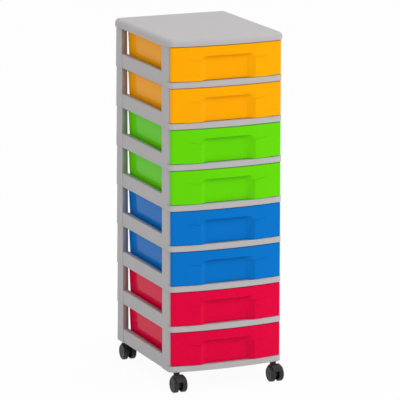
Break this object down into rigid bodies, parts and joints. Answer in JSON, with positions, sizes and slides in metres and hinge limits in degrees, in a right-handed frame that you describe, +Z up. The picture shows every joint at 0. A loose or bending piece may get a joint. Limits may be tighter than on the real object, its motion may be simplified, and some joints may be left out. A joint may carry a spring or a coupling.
{
  "type": "rolling drawer cabinet",
  "caption": "Narrow rolling tower of stacked plastic frames with bowed pull-out drawers in orange, green, blue and red, a rounded grey top and twin-wheel swivel casters.",
  "frame": {"origin": "on the floor, below the middle of the outline seen from above", "axes": "+Z up, drawers open towards -Y, +X to the right of someone facing the drawers"},
  "size_m": [0.303, 0.389, 0.876],
  "materials": {
    "frame_grey": "satin moulded",
    "drawer_orange": "gloss moulded",
    "drawer_green": "gloss moulded",
    "drawer_blue": "gloss moulded",
    "drawer_red": "gloss moulded",
    "caster_black": "satin moulded",
    "sleeve_black": "satin moulded",
    "wheel_black": "satin moulded",
    "steel": "zinc plated"
  },
  "bodies": {
    "cabinet": {"top_panel": "frame_grey", "tier_frame_1": "frame_grey", "tier_frame_2": "frame_grey", "tier_frame_3": "frame_grey", "tier_frame_4": "frame_grey", "tier_frame_5": "frame_grey", "tier_frame_6": "frame_grey", "tier_frame_7": "frame_grey", "tier_frame_8": "frame_grey", "front_left_caster_sleeve": "sleeve_black", "front_right_caster_sleeve": "sleeve_black", "rear_left_caster_sleeve": "sleeve_black", "rear_right_caster_sleeve": "sleeve_black"},
    "drawer_1_body": {"drawer_1": "drawer_orange"},
    "drawer_2_body": {"drawer_2": "drawer_orange"},
    "drawer_3_body": {"drawer_3": "drawer_green"},
    "drawer_4_body": {"drawer_4": "drawer_green"},
    "drawer_5_body": {"drawer_5": "drawer_blue"},
    "drawer_6_body": {"drawer_6": "drawer_blue"},
    "drawer_7_body": {"drawer_7": "drawer_red"},
    "drawer_8_body": {"drawer_8": "drawer_red"},
    "front_left_caster": {"front_left_caster_hood": "caster_black", "front_left_caster_axle": "steel", "front_left_caster_stem": "steel"},
    "front_left_caster_left_wheel_body": {"front_left_caster_left_wheel": "wheel_black"},
    "front_left_caster_right_wheel_body": {"front_left_caster_right_wheel": "wheel_black"},
    "front_right_caster": {"front_right_caster_hood": "caster_black", "front_right_caster_axle": "steel", "front_right_caster_stem": "steel"},
    "front_right_caster_left_wheel_body": {"front_right_caster_left_wheel": "wheel_black"},
    "front_right_caster_right_wheel_body": {"front_right_caster_right_wheel": "wheel_black"},
    "rear_left_caster": {"rear_left_caster_hood": "caster_black", "rear_left_caster_axle": "steel", "rear_left_caster_stem": "steel"},
    "rear_left_caster_left_wheel_body": {"rear_left_caster_left_wheel": "wheel_black"},
    "rear_left_caster_right_wheel_body": {"rear_left_caster_right_wheel": "wheel_black"},
    "rear_right_caster": {"rear_right_caster_hood": "caster_black", "rear_right_caster_axle": "steel", "rear_right_caster_stem": "steel"},
    "rear_right_caster_left_wheel_body": {"rear_right_caster_left_wheel": "wheel_black"},
    "rear_right_caster_right_wheel_body": {"rear_right_caster_right_wheel": "wheel_black"}
  },
  "joints": [
    {"name": "drawer_1_slide", "type": "slide", "parent": "cabinet", "child": "drawer_1_body", "axis": [0, -1, 0], "range_m": [0, 0.25]},
    {"name": "drawer_2_slide", "type": "slide", "parent": "cabinet", "child": "drawer_2_body", "axis": [0, -1, 0], "range_m": [0, 0.25]},
    {"name": "drawer_3_slide", "type": "slide", "parent": "cabinet", "child": "drawer_3_body", "axis": [0, -1, 0], "range_m": [0, 0.25]},
    {"name": "drawer_4_slide", "type": "slide", "parent": "cabinet", "child": "drawer_4_body", "axis": [0, -1, 0], "range_m": [0, 0.25]},
    {"name": "drawer_5_slide", "type": "slide", "parent": "cabinet", "child": "drawer_5_body", "axis": [0, -1, 0], "range_m": [0, 0.25]},
    {"name": "drawer_6_slide", "type": "slide", "parent": "cabinet", "child": "drawer_6_body", "axis": [0, -1, 0], "range_m": [0, 0.25]},
    {"name": "drawer_7_slide", "type": "slide", "parent": "cabinet", "child": "drawer_7_body", "axis": [0, -1, 0], "range_m": [0, 0.25]},
    {"name": "drawer_8_slide", "type": "slide", "parent": "cabinet", "child": "drawer_8_body", "axis": [0, -1, 0], "range_m": [0, 0.25]},
    {"name": "front_left_caster_swivel", "type": "hinge", "parent": "cabinet", "child": "front_left_caster", "pos_m": [-0.1295, -0.161, 0.0493], "axis": [0, 0, 1], "continuous": true},
    {"name": "front_left_caster_left_wheel_spin", "type": "hinge", "parent": "front_left_caster", "child": "front_left_caster_left_wheel_body", "pos_m": [-0.1295, -0.173, 0.02], "axis": [1, 0, 0], "continuous": true},
    {"name": "front_left_caster_right_wheel_spin", "type": "hinge", "parent": "front_left_caster", "child": "front_left_caster_right_wheel_body", "pos_m": [-0.1295, -0.173, 0.02], "axis": [1, 0, 0], "continuous": true},
    {"name": "front_right_caster_swivel", "type": "hinge", "parent": "cabinet", "child": "front_right_caster", "pos_m": [0.1295, -0.161, 0.0493], "axis": [0, 0, 1], "continuous": true},
    {"name": "front_right_caster_left_wheel_spin", "type": "hinge", "parent": "front_right_caster", "child": "front_right_caster_left_wheel_body", "pos_m": [0.1295, -0.173, 0.02], "axis": [1, 0, 0], "continuous": true},
    {"name": "front_right_caster_right_wheel_spin", "type": "hinge", "parent": "front_right_caster", "child": "front_right_caster_right_wheel_body", "pos_m": [0.1295, -0.173, 0.02], "axis": [1, 0, 0], "continuous": true},
    {"name": "rear_left_caster_swivel", "type": "hinge", "parent": "cabinet", "child": "rear_left_caster", "pos_m": [-0.1295, 0.175, 0.0493], "axis": [0, 0, 1], "continuous": true},
    {"name": "rear_left_caster_left_wheel_spin", "type": "hinge", "parent": "rear_left_caster", "child": "rear_left_caster_left_wheel_body", "pos_m": [-0.1295, 0.163, 0.02], "axis": [1, 0, 0], "continuous": true},
    {"name": "rear_left_caster_right_wheel_spin", "type": "hinge", "parent": "rear_left_caster", "child": "rear_left_caster_right_wheel_body", "pos_m": [-0.1295, 0.163, 0.02], "axis": [1, 0, 0], "continuous": true},
    {"name": "rear_right_caster_swivel", "type": "hinge", "parent": "cabinet", "child": "rear_right_caster", "pos_m": [0.1295, 0.175, 0.0493], "axis": [0, 0, 1], "continuous": true},
    {"name": "rear_right_caster_left_wheel_spin", "type": "hinge", "parent": "rear_right_caster", "child": "rear_right_caster_left_wheel_body", "pos_m": [0.1295, 0.163, 0.02], "axis": [1, 0, 0], "continuous": true},
    {"name": "rear_right_caster_right_wheel_spin", "type": "hinge", "parent": "rear_right_caster", "child": "rear_right_caster_right_wheel_body", "pos_m": [0.1295, 0.163, 0.02], "axis": [1, 0, 0], "continuous": true}
  ]
}
